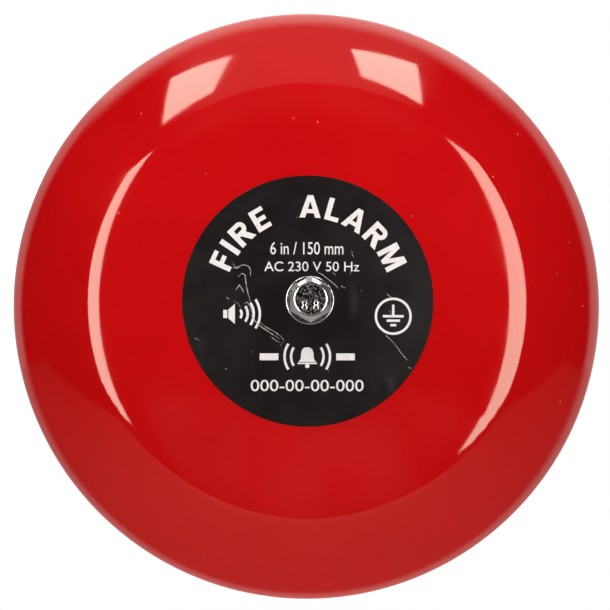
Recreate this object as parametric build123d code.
from build123d import *
import math
import os

# Fire alarm bell for a wall: a pressed steel gong over a round steel base, struck from inside by a
# mains solenoid. The bell is laid out on a bench frame, where z is the distance from the wall, x is
# to the right and y is up. export_part turns it into the row frame: +Z up, with the gong facing -Y
# and the wall at Y = 0. Sizes are in millimetres. FREE is the gap left between pieces that only just
# clear each other, and CUT is how far a cutting tool runs past the face that it opens.

FREE = 0.02
CUT = 1.0

# --- gong ---
GONG_R = 75.0  # a nominal 6 inch (150 mm) gong
GONG_WALL = 1.5
GONG_FACE_Z = 51.5  # outer face, from the wall
GONG_DEPTH = 38.0
GONG_RIM_Z = GONG_FACE_Z - GONG_DEPTH
GONG_SKIRT = 16.5  # straight side, from the rim up to the shoulder
GONG_SKIRT_Z = GONG_RIM_Z + GONG_SKIRT
GONG_LAND = 1.5  # upright part of the side, next to the rim
GONG_DRAFT = 1.2  # the side is this much narrower at its top than at the rim, so it leaves the press tool
GONG_SEAT_R = 9.0  # flat seat for the pad and the washer
GONG_CREASE_R = 55.0  # where the nearly flat face bends over into the sloping shoulder
GONG_CREASE_DROP = 6.5
GONG_CREASE_DEG = 28.4  # slope of the section at the crease
SEAT_PULL = 8.8  # handles of the section's two curves: at the seat, into and out of the crease, at the skirt
CREASE_PULL_IN = 7.9
CREASE_PULL_OUT = 11.9
SKIRT_PULL = 2.2
GONG_RIM_ROUND = 0.6
GONG_HOLE_R = 3.3

# --- label ---
LABEL_R = 31.0
LABEL_T = 0.2
LABEL_HOLE_R = 3.4
LABEL_GLUE = 0.01
LABEL_OFFSET_X = -0.4  # it is stuck a little to the left of the gong's centre
LABEL_TOP_Z = GONG_FACE_Z + LABEL_GLUE + LABEL_T

# --- M6 gong screw and its washers ---
M6_SHANK_R = 2.9
M6_TAP_R = 3.0
M6_LENGTH = 16.0
M6_POINT = 0.6
WASHER_R = 6.0
WASHER_HOLE_R = 3.2
WASHER_T = 1.6
WASHER_ROUND = 0.3
LOCK_WASHER_R = 5.7
LOCK_WASHER_T = 1.6
LOCK_WASHER_SPLIT = 1.0
LOCK_WASHER_ANGLE = 20.0
LOCK_WASHER_Z = LABEL_TOP_Z + WASHER_T
HEAD_AF = 10.0  # across flats
HEAD_T = 4.0
HEAD_CHAMFER_DEG = 30.0
HEAD_FLAT_R = 4.2  # the flat top that is left inside the corner chamfer
HEAD_DISH_R = 3.9
HEAD_DISH_DEPTH = 0.7
HEAD_PIP_R = 0.45
HEAD_PIP_T = 0.25
HEAD_PIPS = ((-1.3, -1.4), (1.3, -1.4))
HEAD_Z = LOCK_WASHER_Z + LOCK_WASHER_T

# --- base plate ---
PLATE_R = 58.0
SHEET = 1.6
BEND_R = 0.8
PLATE_LIP_Z = 5.0
PLATFORM_Z = 5.0  # the middle's back face, raised off the wall to clear nuts and screw heads
PLATFORM_R = 40.0
STEP_R = 42.5
DECK_Z = PLATFORM_Z + SHEET  # the face that the mechanism stands on
WALL_HOLE_R = 2.6
WALL_HOLE_PCD = 102.0
WALL_HOLE_ANGLES = (90.0, 210.0, 330.0)
RIB_LENGTH = 14.0
RIB_WIDTH = 5.0
RIB_H = 1.0
RIB_RING_R = 51.0
RIB_ANGLES = (30.0, 150.0, 270.0)

# --- post ---
PAD_R = 9.0
PAD_T = 1.0
POST_R = 6.0
POST_TOP_Z = GONG_FACE_Z - GONG_WALL - PAD_T
POST_TOP_CHAMFER = 0.5
POST_TAP_DEPTH = 20.0
POST_COLLAR_R = 8.0
POST_COLLAR_H = 2.0
POST_TAIL_R = 4.0
POST_TAIL_Z = 0.8
POST_FLAT_DEPTH = 0.8
POST_FLAT_Z = (21.0, 29.0)
POST_NUT_AF = 13.0
POST_NUT_T = 3.6
POST_NUT_FLAT_R = 6.2

# --- small screws: shank radius, head radius, head height ---
M3 = (1.4, 2.9, 2.1)
M4 = (1.9, 3.8, 2.4)
SCREW_CLEARANCE = 0.15  # radial, round a shank
RECESS_W = 0.8
RECESS_DEPTH = 0.9
RECESS_REACH = 0.62  # of the head's radius
CROWN = 0.35  # rounding of a pan head, of its height
M3_NUT = (5.5, 2.4)  # across flats, thickness
M4_NUT = (7.0, 3.0)

# --- solenoid, its axis parallel to x ---
AXIS_Y = -20.0
FRAME_T = 2.5
FRAME_W = 16.0
FRAME_TOP_Z = 32.0
FRAME_CORNER_R = 4.0
FRAME_BEND_R = 2.0
FRONT_LEG_X = 24.5  # inner face of the front leg
STOP_X = -24.0  # inner face of the rear stop tab
STOP_TOP_Z = 29.0
FRAME_SCREW_XS = (2.0, 18.0)
COIL_FLANGE_R = 12.5
COIL_FLOAT = 0.4  # from the coil's flanges to the frame's web
AXIS_Z = DECK_Z + FRAME_T + COIL_FLANGE_R + COIL_FLOAT
BOBBIN_LENGTH = 28.0
BOBBIN_FLANGE_T = 1.2
BOBBIN_TUBE_R = 6.4
BOBBIN_BORE_R = 5.1
POLE_X = FRONT_LEG_X - BOBBIN_LENGTH  # inner face of the pole plate
POLE_HOLE_R = 5.4
TENON_W = 5.0
TENON_Y = 4.0
WINDING_R = 11.0
TAPE_T = 0.35
PIN_R = 0.5
PIN_RISE = 11.0  # from the solenoid's axis, towards the post
PIN_SPREAD = 4.0
PIN_LENGTH = 5.0
PIN_ROOT = 1.0

# --- plunger, rod and hammer ---
PLUNGER_R = 5.0
PLUNGER_FRONT_X = 10.0
PLUNGER_TAIL_X = -20.0
PLUNGER_CHAMFER = 0.5
GROOVE_R = 4.0
CLIP_X = -18.0
CLIP_T = 1.0
CLIP_R = 6.6
CLIP_MOUTH = 6.0
SEAT_T = 0.8
SEAT_R = 7.4
SEAT_X = CLIP_X + CLIP_T
SPRING_WIRE_R = 0.4
SPRING_COIL_R = 6.2
SPRING_TURNS = 5
ROD_R = 2.0
ROD_SOCKET = 6.0
HAMMER_R = 4.5
HAMMER_LENGTH = 9.0
HAMMER_SOCKET = 5.0
HAMMER_NOSE_R = 6.0
HAMMER_CHAMFER = 0.7
HAMMER_TIP_X = 66.3  # at rest, a stroke away from the gong's wall
NECK_Z = 2.2  # from the hammer's back
NECK_W = 0.8
NECK_DEPTH = 0.6
BUSH_BORE_R = 2.05
BUSH_R = 3.5
BUSH_FLANGE_R = 5.0
BUSH_FLANGE_T = 1.0
BUFFER_R = 5.0
BUFFER_ROUND = 0.8
BUFFER_GAP = 0.1
BUFFER_STEM_R = 2.0
BUFFER_BARB_R = 2.6
BUFFER_BARB_TIP_R = 1.6
BUFFER_BARB_T = 2.0

# --- cover ---
COVER_R = 46.0
COVER_TOP_R = 44.4
COVER_TOP_Z = 38.4
COVER_WALL = 2.0
COVER_EDGE_R = 5.0
COVER_POST_HOLE_R = 6.6
COVER_COLLAR_R = 9.0
COVER_COLLAR_H = 1.6
SNOUT_R = 8.0
SNOUT_X = 44.6
SNOUT_HOLE_R = 5.5
SNOUT_ROOT_R = 44.0  # a cylinder inside the cover's wall, where the snout starts
VENT_COUNT = 7
VENT_WIDTH = 2.0
VENT_LENGTH = 12.0
VENT_PITCH = 4.5
WELL_R = 3.4
WELL_DEPTH = 1.0
COVER_SCREW_LENGTH = 8.0
PILLAR_RING_R = 35.5
PILLAR_ANGLES = (90.0, 200.0, 340.0)
PILLAR_AF = 5.5
PILLAR_TAP_R = 1.5
PILLAR_TAP_DEPTH = 10.0
PILLAR_TAIL_R = 1.6
RIVET_R = 2.9
RIVET_T = 0.9
RIVET_ROUND = 0.6

# --- terminals ---
BLOCK_X = -17.0
BLOCK_Y = 20.5
BLOCK_LENGTH = 24.0
BLOCK_WIDTH = 15.0
BLOCK_H = 8.0
BLOCK_CORNER_R = 1.5
BLOCK_WELL_DEPTH = 3.0
TOWER_R = 3.6
TOWER_H = 6.0
POLE_PITCH = 12.0
TUBE_R = 2.8
TUBE_BORE_R = 1.7
TUBE_LENGTH = 12.0
TUBE_Z = DECK_Z + 4.2
CLAMP_R = 1.5
CLAMP_HEAD_R = 2.2
CLAMP_HEAD_T = 1.8
CLAMP_SEAT_Z = TUBE_Z + TUBE_R + 1.2
EARTH_X = -29.0
EARTH_Y = 3.0
EARTH_WASHER_R = 5.0
EARTH_WASHER_T = 1.0

# --- cable entry ---
GROMMET_X = 22.0
GROMMET_Y = 20.0
GROMMET_HOLE_R = 6.0
GROMMET_R = 8.0
GROMMET_BORE_R = 3.75
GROMMET_FLANGE_T = 1.6
GROMMET_ROUND = 0.9

# --- leads from the coil's pins to the terminals: route points of each ---
LEAD_R = 0.8
LEAD_Z = TUBE_Z - TUBE_BORE_R + LEAD_R + FREE  # it lies on the floor of the tube's bore
LEAD_START_X = POLE_X - PIN_LENGTH
LEAD_START_Y = AXIS_Y + PIN_RISE
LEAD_END_Y = BLOCK_Y + 2.0
LIVE_X = BLOCK_X + POLE_PITCH / 2
NEUTRAL_X = BLOCK_X - POLE_PITCH / 2
LIVE_ROUTE = (
    (LEAD_START_X, LEAD_START_Y, AXIS_Z + PIN_SPREAD),
    (-12.0, LEAD_START_Y, AXIS_Z + PIN_SPREAD),
    (-13.4, -5.0, 23.2),
    (-12.6, 2.0, 16.0),
    (LIVE_X, 10.0, LEAD_Z),
    (LIVE_X, LEAD_END_Y, LEAD_Z),
)
NEUTRAL_ROUTE = (
    (LEAD_START_X, LEAD_START_Y, AXIS_Z - PIN_SPREAD),
    (-15.0, LEAD_START_Y, AXIS_Z - PIN_SPREAD),
    (-20.4, -5.6, 16.6),
    (-23.3, 0.8, 13.0),
    (NEUTRAL_X, 9.6, LEAD_Z),
    (NEUTRAL_X, LEAD_END_Y, LEAD_Z),
)


# --- shapes that repeat ---


def tube(r_out, r_in, z0, z1, x=0.0, y=0.0):
    """A round tube along z, or a plain cylinder where r_in is 0."""
    height = z1 - z0
    foot = (Align.CENTER, Align.CENTER, Align.MIN)
    solid = Cylinder(r_out, height, align=foot)
    if r_in:
        solid -= Cylinder(r_in, height, align=foot)
    return Pos(x, y, z0) * solid


def tube_x(r_out, r_in, x0, x1, y=AXIS_Y, z=AXIS_Z):
    """The same along x, on the solenoid's axis unless told otherwise."""
    return Pos(x0, y, z) * Rot(0, 90, 0) * tube(r_out, r_in, 0.0, x1 - x0)


def tube_y(r_out, r_in, y0, y1, x, z):
    """The same along y."""
    return Pos(x, y0, z) * Rot(-90, 0, 0) * tube(r_out, r_in, 0.0, y1 - y0)


def block(x0, x1, y0, y1, z0, z1):
    """A box between two corners."""
    centre = Pos((x0 + x1) / 2, (y0 + y1) / 2, (z0 + z1) / 2)
    return centre * Box(x1 - x0, y1 - y0, z1 - z0)


def polar(radius, degrees):
    """A point on a circle about the bell's axis."""
    angle = math.radians(degrees)
    return radius * math.cos(angle), radius * math.sin(angle)


def upright(corners):
    """Points in the x-z plane, from (radius, height) corners."""
    return [(r, 0, z) for r, z in corners]


def turned(*corners):
    """A solid of revolution about z, from the corners of its half section."""
    return revolve(make_face(Polyline(*upright(corners), close=True)), Axis.Z)


def bent_line(corners, radii):
    """Straight runs between corners in the x-z plane, with an arc of its own radius at each bend."""
    points = [Vector(*p) for p in upright(corners)]
    edges = []
    start = points[0]
    for before, corner, after, radius in zip(points, points[1:], points[2:], radii):
        way_in = (corner - before).normalized()
        way_out = (after - corner).normalized()
        half_turn = math.radians(way_in.get_angle(way_out)) / 2
        reach = radius * math.tan(half_turn)
        middle = corner + (way_out - way_in).normalized() * radius * (1 / math.cos(half_turn) - 1)
        edges.append(Line(start, corner - way_in * reach))
        start = corner + way_out * reach
        edges.append(ThreePointArc(corner - way_in * reach, middle, start))
    return Wire([*edges, Line(start, points[-1])])


def pressed(corners, bend_radii, thickness):
    """A sheet pressed to a turned shape. The corners run outwards along its outer or back face."""
    face_line = bent_line(corners, bend_radii)
    section = face_line.offset_2d(thickness, kind=Kind.INTERSECTION, side=Side.RIGHT, closed=True)
    return revolve(make_face(section), Axis.Z)


def round_edges(shape, axis, end):
    """The circular edges at one end of a shape along an axis: end is 0 for low and -1 for high."""
    return shape.edges().filter_by(GeomType.CIRCLE).group_by(axis)[end]


def hexagon(across_flats, z0, z1):
    """A hexagonal prism about z with corners at the top and the bottom."""
    sketch = RegularPolygon(across_flats / math.sqrt(3), 6, rotation=30)
    return Pos(0, 0, z0) * extrude(sketch, z1 - z0)


def corner_cone(far_r, flat_r, z_low, z_top):
    """A turned blank whose cone takes the corners off the top of a hexagon."""
    edge_z = z_top - (far_r - flat_r) * math.tan(math.radians(HEAD_CHAMFER_DEG))
    return turned((0, z_low), (far_r, z_low), (far_r, edge_z), (flat_r, z_top), (0, z_top))


def pan_screw(size, length):
    """A cross-recess screw: its head stands on z 0 and its shank runs down from there."""
    shank_r, head_r, head_t = size
    head = tube(head_r, 0, 0, head_t)
    head = fillet(round_edges(head, Axis.Z, -1), head_t * CROWN)
    arm = block(-head_r, head_r, -RECESS_W / 2, RECESS_W / 2, head_t - RECESS_DEPTH, head_t + CUT)
    recess = (arm + Rot(0, 0, 90) * arm) & tube(head_r * RECESS_REACH, 0, 0, head_t + CUT)
    return head + tube(shank_r, 0, -length, 0) - recess


def nut_behind(size, screw, x, y):
    """A plain nut against the base plate's back."""
    across_flats, thickness = size
    nut = hexagon(across_flats, PLATFORM_Z - thickness, PLATFORM_Z)
    nut -= tube(screw[0] + FREE, 0, 0, PLATFORM_Z + CUT)
    return Pos(x, y, 0) * nut


# --- gong and what holds it ---


def crease_point(inset, along):
    """A point on the section's tangent at the crease, under the face by inset."""
    angle = math.radians(GONG_CREASE_DEG)
    radius = GONG_CREASE_R - inset * math.sin(angle) + along * math.cos(angle)
    height = GONG_FACE_Z - GONG_CREASE_DROP - inset * math.cos(angle) - along * math.sin(angle)
    return radius, 0, height


def face_curve(inset):
    """The gong's section from its seat to its crease, under the face by inset."""
    seat_z = GONG_FACE_Z - inset
    return Bezier(
        (GONG_SEAT_R, 0, seat_z), (GONG_SEAT_R + SEAT_PULL, 0, seat_z),
        crease_point(inset, -CREASE_PULL_IN), crease_point(inset, 0),
    )


def skirt_point(inset, along):
    """A point on the line of the gong's side, this far above the side's top."""
    draft = math.atan2(GONG_DRAFT, GONG_SKIRT - GONG_LAND)
    radius = GONG_R - GONG_DRAFT - inset - along * math.sin(draft)
    return radius, 0, GONG_SKIRT_Z + along * math.cos(draft)


def shoulder_curve(inset):
    """The gong's section from its crease to its skirt, under the face by inset."""
    return Bezier(
        crease_point(inset, 0), crease_point(inset, CREASE_PULL_OUT),
        skirt_point(inset, SKIRT_PULL - inset), skirt_point(inset, 0),
    )


def gong():
    back_z = GONG_FACE_Z - GONG_WALL
    inner_r = GONG_R - GONG_WALL
    face = Polyline(*upright([
        (GONG_HOLE_R, back_z), (GONG_HOLE_R, GONG_FACE_Z), (GONG_SEAT_R, GONG_FACE_Z)
    ]))
    land_z = GONG_RIM_Z + GONG_LAND
    land = upright([(GONG_R, land_z), (GONG_R, GONG_RIM_Z), (inner_r, GONG_RIM_Z), (inner_r, land_z)])
    rim = Polyline(skirt_point(0, 0), *land, skirt_point(GONG_WALL, 0))
    back = Line(*upright([(GONG_SEAT_R, back_z), (GONG_HOLE_R, back_z)]))
    outside = [face_curve(0.0), shoulder_curve(0.0)]
    inside = [shoulder_curve(GONG_WALL), face_curve(GONG_WALL)]
    edges = [*face.edges(), *outside, *rim.edges(), *inside, back]
    shell = revolve(make_face(edges), Axis.Z)
    return fillet(round_edges(shell, Axis.Z, 0), GONG_RIM_ROUND)


def label():
    """A vinyl disc that follows the gong's face."""
    low, high = -LABEL_GLUE, -LABEL_GLUE - LABEL_T
    low_z, high_z = GONG_FACE_Z - low, GONG_FACE_Z - high
    hole = Polyline(*upright([
        (GONG_SEAT_R, high_z), (LABEL_HOLE_R, high_z), (LABEL_HOLE_R, low_z), (GONG_SEAT_R, low_z)
    ]))
    side = Line(crease_point(low, 0), crease_point(high, 0))
    sheet = revolve(make_face([*hole.edges(), face_curve(low), side, face_curve(high)]), Axis.Z)
    return sheet & tube(LABEL_R, 0, 0, high_z + CUT, LABEL_OFFSET_X)


def gong_washer():
    ring = tube(WASHER_R, WASHER_HOLE_R, LABEL_TOP_Z, LOCK_WASHER_Z)
    outside = ring.edges().filter_by(GeomType.CIRCLE).group_by(SortBy.RADIUS)[-1]
    return fillet(outside, WASHER_ROUND)


def gong_lock_washer():
    ring = tube(LOCK_WASHER_R, WASHER_HOLE_R, LOCK_WASHER_Z, HEAD_Z)
    split = block(0, LOCK_WASHER_R + CUT, 0, LOCK_WASHER_SPLIT, LOCK_WASHER_Z - CUT, HEAD_Z + CUT)
    return ring - Rot(0, 0, LOCK_WASHER_ANGLE) * split


def gong_screw():
    """M6 hexagon screw. Its head has a round dish with two raised pips in it."""
    top_z = HEAD_Z + HEAD_T
    floor_z = top_z - HEAD_DISH_DEPTH
    floor_r = HEAD_DISH_R - HEAD_DISH_DEPTH / 2
    head = hexagon(HEAD_AF, HEAD_Z, top_z) & corner_cone(HEAD_AF, HEAD_FLAT_R, HEAD_Z, top_z)
    head -= turned((0, floor_z), (floor_r, floor_z), (HEAD_DISH_R, top_z + FREE), (0, top_z + FREE))
    for x, y in HEAD_PIPS:
        head += tube(HEAD_PIP_R, 0, floor_z, floor_z + HEAD_PIP_T, x, y)
    shank = tube(M6_SHANK_R, 0, HEAD_Z - M6_LENGTH, HEAD_Z)
    return head + chamfer(round_edges(shank, Axis.Z, 0), M6_POINT)


def gong_pad():
    """Fibre washer between the post and the gong."""
    return tube(PAD_R, GONG_HOLE_R, POST_TOP_Z, POST_TOP_Z + PAD_T)


def gong_post():
    """Turned column that carries the gong, with a threaded tail through the base plate."""
    column = tube(POST_R, 0, DECK_Z, POST_TOP_Z)
    column = chamfer(round_edges(column, Axis.Z, -1), POST_TOP_CHAMFER)
    column += tube(POST_COLLAR_R, 0, DECK_Z, DECK_Z + POST_COLLAR_H)
    column += tube(POST_TAIL_R, 0, POST_TAIL_Z, DECK_Z)
    flat = block(-POST_R, POST_R, POST_R - POST_FLAT_DEPTH, POST_R + CUT, *POST_FLAT_Z)
    column -= flat + Rot(0, 0, 180) * flat
    return column - tube(M6_TAP_R, 0, POST_TOP_Z - POST_TAP_DEPTH, POST_TOP_Z + CUT)


def post_nut():
    nut = hexagon(POST_NUT_AF, -POST_NUT_T, 0)
    nut &= Rot(180, 0, 0) * corner_cone(POST_NUT_AF, POST_NUT_FLAT_R, 0, POST_NUT_T)
    nut -= tube(POST_TAIL_R + FREE, 0, -POST_NUT_T - CUT, CUT)
    return Pos(0, 0, PLATFORM_Z) * nut


# --- base plate ---


def base_plate():
    """Pressed steel disc with a raised middle, a turned-up lip and three ribs."""
    back_line = [
        (0, PLATFORM_Z), (PLATFORM_R, PLATFORM_Z), (STEP_R, 0), (PLATE_R, 0), (PLATE_R, PLATE_LIP_Z)
    ]
    outer_bend_r = BEND_R + SHEET
    plate = pressed(back_line, (BEND_R, outer_bend_r, outer_bend_r), SHEET)
    for angle in RIB_ANGLES:
        place = Rot(0, 0, angle) * Pos(RIB_RING_R, 0, 0) * Rot(0, 0, 90)
        plate += place * Pos(0, 0, SHEET / 2) * bead(RIB_LENGTH, RIB_WIDTH, SHEET / 2 + RIB_H)
        plate -= place * bead(RIB_LENGTH - 2 * SHEET, RIB_WIDTH - 2 * SHEET, RIB_H)
    return plate - base_holes()


def bead(length, width, height):
    """A long boss with round ends and a soft top edge, standing on z 0."""
    boss = extrude(SlotOverall(length, width), height)
    return fillet(boss.edges().group_by(Axis.Z)[-1], height / 3)


def base_holes():
    """Everything that is punched through the base plate, as (radius, x, y)."""
    punches = [(POST_TAIL_R + FREE, 0, 0), (GROMMET_HOLE_R, GROMMET_X, GROMMET_Y)]
    punches += [(WALL_HOLE_R, *polar(WALL_HOLE_PCD / 2, a)) for a in WALL_HOLE_ANGLES]
    punches += [(PILLAR_TAIL_R + FREE, *polar(PILLAR_RING_R, a)) for a in PILLAR_ANGLES]
    punches += [(M4[0] + SCREW_CLEARANCE, x, AXIS_Y) for x in FRAME_SCREW_XS]
    punches += [(M3[0] + SCREW_CLEARANCE, BLOCK_X, BLOCK_Y), (M4[0] + SCREW_CLEARANCE, EARTH_X, EARTH_Y)]
    return [tube(r, 0, -CUT, DECK_Z + CUT, x, y) for r, x, y in punches]


def cable_grommet():
    """Rubber grommet for the mains cable, gripping the edge of its hole."""
    low_z = PLATFORM_Z - GROMMET_FLANGE_T
    high_z = DECK_Z + GROMMET_FLANGE_T
    ring = tube(GROMMET_R, 0, low_z, high_z)
    ring = fillet(ring.edges().filter_by(GeomType.CIRCLE), GROMMET_ROUND)
    ring -= tube(GROMMET_R + CUT, GROMMET_HOLE_R - FREE, PLATFORM_Z, DECK_Z)
    ring -= tube(GROMMET_BORE_R, 0, low_z - CUT, high_z + CUT)
    return Pos(GROMMET_X, GROMMET_Y, 0) * ring


# --- solenoid ---


def strip_leg(x0, x1, z0, z1):
    """A wall of the solenoid's frame, square to its axis, with its two top corners rounded."""
    wall = block(x0, x1, AXIS_Y - FRAME_W / 2, AXIS_Y + FRAME_W / 2, z0, z1)
    return fillet(wall.edges().filter_by(Axis.X).group_by(Axis.Z)[-1], FRAME_CORNER_R)


def solenoid_frame():
    """Bent steel strip: a web on the base plate, the front leg and the rear stop tab."""
    x0 = STOP_X - FRAME_T
    x1 = FRONT_LEG_X + FRAME_T
    web_top = DECK_Z + FRAME_T
    frame = block(x0, x1, AXIS_Y - FRAME_W / 2, AXIS_Y + FRAME_W / 2, DECK_Z, web_top)
    frame += strip_leg(FRONT_LEG_X, x1, DECK_Z, FRAME_TOP_Z)
    frame += strip_leg(x0, STOP_X, DECK_Z, STOP_TOP_Z)
    frame = fillet(frame.edges().filter_by(Axis.Y).group_by(Axis.Z)[0], FRAME_BEND_R)
    frame -= tube_x(BUSH_R + FREE, 0, FRONT_LEG_X - CUT, x1 + CUT)
    frame -= tube_x(BUFFER_STEM_R + FREE, 0, x0 - CUT, STOP_X + CUT)
    for x in FRAME_SCREW_XS:
        frame -= tube(M4[0] + FREE, 0, DECK_Z - CUT, web_top + CUT, x, AXIS_Y)
    return frame - tenons(0.0)


def tenons(inset):
    """The pole plate's two feet, which are staked into the web."""
    x0 = POLE_X - FRAME_T + inset
    x1 = POLE_X - inset
    half = TENON_W / 2 - inset
    centres = (AXIS_Y - TENON_Y, AXIS_Y + TENON_Y)
    return [block(x0, x1, y - half, y + half, DECK_Z, DECK_Z + FRAME_T) for y in centres]


def pole_plate():
    """Steel plate behind the coil, which closes the magnetic circuit round the plunger."""
    plate = strip_leg(POLE_X - FRAME_T, POLE_X, DECK_Z + FRAME_T, FRAME_TOP_Z)
    plate += tenons(FREE)
    return plate - tube_x(POLE_HOLE_R, 0, POLE_X - FRAME_T - CUT, POLE_X + CUT)


def coil_bobbin():
    """Nylon spool that guides the plunger. Its rear flange holds the two solder pins."""
    spool = tube_x(BOBBIN_TUBE_R, 0, POLE_X, FRONT_LEG_X)
    for x in (POLE_X, FRONT_LEG_X - BOBBIN_FLANGE_T):
        spool += tube_x(COIL_FLANGE_R, 0, x, x + BOBBIN_FLANGE_T)
    spool -= tube_x(BOBBIN_BORE_R, 0, POLE_X - CUT, FRONT_LEG_X + CUT)
    return spool - coil_pins()


def coil_pins():
    """Two pins along x, level with the edge of the winding, above and below the axis."""
    spread = (AXIS_Z + PIN_SPREAD, AXIS_Z - PIN_SPREAD)
    return [tube_x(PIN_R, 0, LEAD_START_X, POLE_X + PIN_ROOT, LEAD_START_Y, z) for z in spread]


def coil_winding():
    x0 = POLE_X + BOBBIN_FLANGE_T
    x1 = FRONT_LEG_X - BOBBIN_FLANGE_T
    return tube_x(WINDING_R - TAPE_T, BOBBIN_TUBE_R, x0, x1)


def coil_tape():
    x0 = POLE_X + BOBBIN_FLANGE_T
    x1 = FRONT_LEG_X - BOBBIN_FLANGE_T
    return tube_x(WINDING_R, WINDING_R - TAPE_T, x0, x1)


def front_bush():
    """Flanged guide for the striker rod, pressed into the front leg from outside."""
    x1 = FRONT_LEG_X + FRAME_T
    bush = tube_x(BUSH_R, 0, FRONT_LEG_X, x1) + tube_x(BUSH_FLANGE_R, 0, x1, x1 + BUSH_FLANGE_T)
    return bush - tube_x(BUSH_BORE_R, 0, FRONT_LEG_X - CUT, x1 + BUSH_FLANGE_T + CUT)


def plunger():
    """Iron plunger: a groove for the clip near its tail, a socket for the rod in front."""
    bar = tube_x(PLUNGER_R, 0, PLUNGER_TAIL_X, PLUNGER_FRONT_X)
    bar = chamfer(bar.edges().filter_by(GeomType.CIRCLE), PLUNGER_CHAMFER)
    bar -= tube_x(PLUNGER_R + CUT, GROOVE_R, CLIP_X, CLIP_X + CLIP_T)
    return bar - tube_x(ROD_R, 0, PLUNGER_FRONT_X - ROD_SOCKET, PLUNGER_FRONT_X + CUT)


def striker_rod():
    x1 = HAMMER_TIP_X - HAMMER_LENGTH + HAMMER_SOCKET
    return tube_x(ROD_R, 0, PLUNGER_FRONT_X - ROD_SOCKET, x1)


def striker_hammer():
    """Steel head with a domed nose and a ring groove, pressed on the rod."""
    nose_z = HAMMER_LENGTH - HAMMER_NOSE_R
    nose_start = math.acos(HAMMER_R / HAMMER_NOSE_R)
    nose_angles = (nose_start, (nose_start + math.pi / 2) / 2, math.pi / 2)
    dome = [(HAMMER_NOSE_R * math.cos(a), nose_z + HAMMER_NOSE_R * math.sin(a)) for a in nose_angles]
    dome[-1] = (0, HAMMER_LENGTH)
    neck_r = HAMMER_R - NECK_DEPTH
    sides = Polyline(*upright([
        (0, HAMMER_LENGTH), (0, HAMMER_SOCKET), (ROD_R, HAMMER_SOCKET), (ROD_R, 0),
        (HAMMER_R - HAMMER_CHAMFER, 0), (HAMMER_R, HAMMER_CHAMFER), (HAMMER_R, NECK_Z), (neck_r, NECK_Z),
        (neck_r, NECK_Z + NECK_W), (HAMMER_R, NECK_Z + NECK_W), dome[0]
    ]))
    head = revolve(make_face([*sides.edges(), ThreePointArc(*upright(dome))]), Axis.Z)
    return Pos(HAMMER_TIP_X - HAMMER_LENGTH, AXIS_Y, AXIS_Z) * Rot(0, 90, 0) * head


def plunger_clip():
    """E-clip in the plunger's groove, open away from the wall."""
    ring = tube_x(CLIP_R, GROOVE_R + FREE, CLIP_X + FREE, CLIP_X + CLIP_T)
    half = CLIP_MOUTH / 2
    return ring - block(CLIP_X, SEAT_X + CUT, AXIS_Y - half, AXIS_Y + half, AXIS_Z, AXIS_Z + CLIP_R + CUT)


def spring_seat():
    """Washer on the plunger that the return spring pushes against."""
    return tube_x(SEAT_R, PLUNGER_R + FREE, SEAT_X, SEAT_X + SEAT_T)


def return_spring():
    """Compression spring round the plunger's tail, between the seat and the pole plate."""
    end_gap = SPRING_WIRE_R + FREE
    x0 = SEAT_X + SEAT_T + end_gap
    x1 = POLE_X - FRAME_T - end_gap
    path = Helix(pitch=(x1 - x0) / SPRING_TURNS, height=x1 - x0, radius=SPRING_COIL_R)
    wire = sweep(Plane(origin=path @ 0, z_dir=path % 0) * Circle(SPRING_WIRE_R), path=path, is_frenet=True)
    return Pos(x0, AXIS_Y, AXIS_Z) * Rot(0, 90, 0) * wire


def rear_buffer():
    """Rubber buffer behind the plunger, pulled through the stop tab by its barbed stem."""
    back_x = STOP_X - FRAME_T
    pad = tube_x(BUFFER_R, 0, STOP_X, PLUNGER_TAIL_X - BUFFER_GAP)
    pad = fillet(round_edges(pad, Axis.X, -1), BUFFER_ROUND)
    barb = turned((0, 0), (BUFFER_BARB_R, 0), (BUFFER_BARB_TIP_R, BUFFER_BARB_T), (0, BUFFER_BARB_T))
    pad += Pos(back_x, AXIS_Y, AXIS_Z) * Rot(0, -90, 0) * barb
    return pad + tube_x(BUFFER_STEM_R, 0, back_x, STOP_X)


def frame_screws():
    """Two screws from behind the base plate into the frame's web."""
    screw = pan_screw(M4, SHEET + FRAME_T - FREE)
    return [Pos(x, AXIS_Y, PLATFORM_Z) * Rot(180, 0, 0) * screw for x in FRAME_SCREW_XS]


# --- cover ---


def mechanism_cover():
    """Moulded insulating cup over the solenoid and the terminals."""
    outside = [(0, COVER_TOP_Z), (COVER_TOP_R, COVER_TOP_Z), (COVER_R, SHEET)]
    cup = pressed(outside, (COVER_EDGE_R,), COVER_WALL)
    cup -= tube(COVER_R + CUT, 0, 0, SHEET)
    inner_top = COVER_TOP_Z - COVER_WALL
    cup += tube(COVER_COLLAR_R, 0, inner_top, COVER_TOP_Z + COVER_COLLAR_H)
    cup += tube_x(SNOUT_R, 0, SNOUT_ROOT_R / 2, SNOUT_X) - tube(SNOUT_ROOT_R, 0, 0, COVER_TOP_Z)
    return cup - cover_holes()


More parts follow.
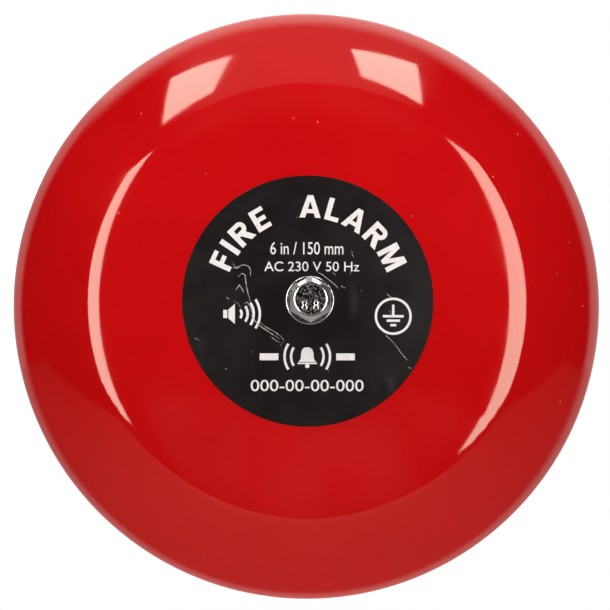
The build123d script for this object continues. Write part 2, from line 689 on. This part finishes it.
def cover_holes():
    """The holes for the post and the striker, the screw wells and the row of vents."""
    wall_back = COVER_TOP_Z - COVER_WALL - CUT
    holes = [
        tube(COVER_POST_HOLE_R, 0, wall_back, COVER_TOP_Z + COVER_COLLAR_H + CUT),
        tube_x(SNOUT_HOLE_R, 0, SNOUT_ROOT_R / 2, COVER_R + CUT),
    ]
    for angle in PILLAR_ANGLES:
        x, y = polar(PILLAR_RING_R, angle)
        holes.append(tube(M3[0] + SCREW_CLEARANCE, 0, wall_back, COVER_TOP_Z, x, y))
        holes.append(tube(WELL_R, 0, COVER_TOP_Z - WELL_DEPTH, COVER_TOP_Z + CUT, x, y))
    vent = extrude(SlotOverall(VENT_LENGTH, VENT_WIDTH, rotation=90), COVER_WALL + 2 * CUT)
    for i in range(VENT_COUNT):
        x = (i - (VENT_COUNT - 1) / 2) * VENT_PITCH
        holes.append(Pos(x, AXIS_Y, wall_back) * vent)
    return holes


def cover_pillars():
    """Hexagonal pillars riveted to the base plate, tapped for the cover's screws."""
    top_z = COVER_TOP_Z - COVER_WALL
    rivet = tube(RIVET_R, 0, PLATFORM_Z - RIVET_T, PLATFORM_Z)
    pillar = hexagon(PILLAR_AF, DECK_Z, top_z) + tube(PILLAR_TAIL_R, 0, PLATFORM_Z, DECK_Z)
    pillar += fillet(round_edges(rivet, Axis.Z, 0), RIVET_ROUND)
    pillar -= tube(PILLAR_TAP_R, 0, top_z - PILLAR_TAP_DEPTH, top_z + CUT)
    return [Pos(*polar(PILLAR_RING_R, a), 0) * pillar for a in PILLAR_ANGLES]


def cover_screws():
    screw = pan_screw(M3, COVER_SCREW_LENGTH)
    seat_z = COVER_TOP_Z - WELL_DEPTH
    return [Pos(*polar(PILLAR_RING_R, a), seat_z) * screw for a in PILLAR_ANGLES]


# --- terminals ---


def terminal_block():
    """Nylon body with a round tower over each clamp screw and a sunk fixing screw."""
    x0 = BLOCK_X - BLOCK_LENGTH / 2
    y0 = BLOCK_Y - BLOCK_WIDTH / 2
    top_z = DECK_Z + BLOCK_H
    body = block(x0, x0 + BLOCK_LENGTH, y0, y0 + BLOCK_WIDTH, DECK_Z, top_z)
    body = fillet(body.edges().filter_by(Axis.Z), BLOCK_CORNER_R)
    for x in (LIVE_X, NEUTRAL_X):
        body += tube(TOWER_R, 0, top_z, top_z + TOWER_H, x, BLOCK_Y)
        body -= tube_y(TUBE_R + FREE, 0, y0 - CUT, y0 + BLOCK_WIDTH + CUT, x, TUBE_Z)
        body -= tube(CLAMP_HEAD_R + FREE, 0, TUBE_Z, top_z + TOWER_H + CUT, x, BLOCK_Y)
    body -= tube(M3[0] + SCREW_CLEARANCE, 0, DECK_Z - CUT, top_z, BLOCK_X, BLOCK_Y)
    return body - tube(M3[1] + FREE, 0, top_z - BLOCK_WELL_DEPTH, top_z + CUT, BLOCK_X, BLOCK_Y)


def terminal_tube(x):
    """Brass tube that a cable core and a coil lead share."""
    body = tube_y(TUBE_R, TUBE_BORE_R, BLOCK_Y - TUBE_LENGTH / 2, BLOCK_Y + TUBE_LENGTH / 2, x, TUBE_Z)
    return body - tube(CLAMP_R + FREE, 0, TUBE_Z, TUBE_Z + TUBE_R + CUT, x, BLOCK_Y)


def clamp_screw(x):
    """Slotted screw turned down on the lead in its tube."""
    tip_z = LEAD_Z + LEAD_R + FREE
    head_top = CLAMP_SEAT_Z + CLAMP_HEAD_T
    screw = tube(CLAMP_R, 0, tip_z, CLAMP_SEAT_Z) + tube(CLAMP_HEAD_R, 0, CLAMP_SEAT_Z, head_top)
    half = RECESS_W / 2
    reach = CLAMP_HEAD_R + CUT
    screw -= block(-reach, reach, -half, half, head_top - RECESS_DEPTH, head_top + CUT)
    return Pos(x, BLOCK_Y, 0) * screw


def block_screw():
    """Screw that holds the terminal block, down to its nut behind the base plate."""
    seat_z = DECK_Z + BLOCK_H - BLOCK_WELL_DEPTH
    return Pos(BLOCK_X, BLOCK_Y, seat_z) * pan_screw(M3, seat_z - PLATFORM_Z + M3_NUT[1])


def earth_washer():
    return tube(EARTH_WASHER_R, M4[0] + FREE, DECK_Z, DECK_Z + EARTH_WASHER_T, EARTH_X, EARTH_Y)


def earth_screw():
    seat_z = DECK_Z + EARTH_WASHER_T
    return Pos(EARTH_X, EARTH_Y, seat_z) * pan_screw(M4, seat_z - PLATFORM_Z + M4_NUT[1])


def lead(points):
    """An insulated lead along its route. Each bend is as large as the two runs beside it allow."""
    runs = [Vector(*b) - Vector(*a) for a, b in zip(points, points[1:])]
    radii = []
    for before, after in zip(runs, runs[1:]):
        half_turn = math.radians(before.get_angle(after)) / 2
        radii.append(0.45 * min(before.length, after.length) / math.tan(half_turn))
    path = FilletPolyline(*points, radius=radii)
    wire = sweep(Plane(origin=path @ 0, z_dir=path % 0) * Circle(LEAD_R), path=path)
    plain_volume = math.pi * LEAD_R**2 * path.length
    print("lead bend radii", [round(r, 1) for r in radii], "length", round(path.length, 1))
    print("lead volume over section times length", round(wire.volume / plain_volume, 4))
    return wire


# --- export ---


def export_part(name, made):
    """Turns one sub-part from the bench frame into the row frame and writes it."""
    shapes = made if isinstance(made, list) else [made]
    solids = [Rot(90, 0, 0) * solid for shape in shapes for solid in shape.solids()]
    whole = solids[0] if len(solids) == 1 else Compound(children=solids)
    export_step(whole, f"parts/{name}.step")


os.makedirs("parts", exist_ok=True)

for make in (
    gong, label, gong_washer, gong_lock_washer, gong_screw, gong_pad, gong_post, post_nut,
    base_plate, cable_grommet, solenoid_frame, pole_plate, coil_bobbin, coil_pins, coil_winding, coil_tape,
    front_bush, plunger, plunger_clip, spring_seat, return_spring, striker_rod, striker_hammer, rear_buffer,
    frame_screws, mechanism_cover, cover_pillars, cover_screws, terminal_block, block_screw,
    earth_washer, earth_screw,
):
    export_part(make.__name__, make())

export_part("block_nut", nut_behind(M3_NUT, M3, BLOCK_X, BLOCK_Y))
export_part("earth_nut", nut_behind(M4_NUT, M4, EARTH_X, EARTH_Y))

for pole, x, route in (("live", LIVE_X, LIVE_ROUTE), ("neutral", NEUTRAL_X, NEUTRAL_ROUTE)):
    export_part(f"terminal_tube_{pole}", terminal_tube(x))
    export_part(f"clamp_screw_{pole}", clamp_screw(x))
    export_part(f"lead_{pole}", lead(route))
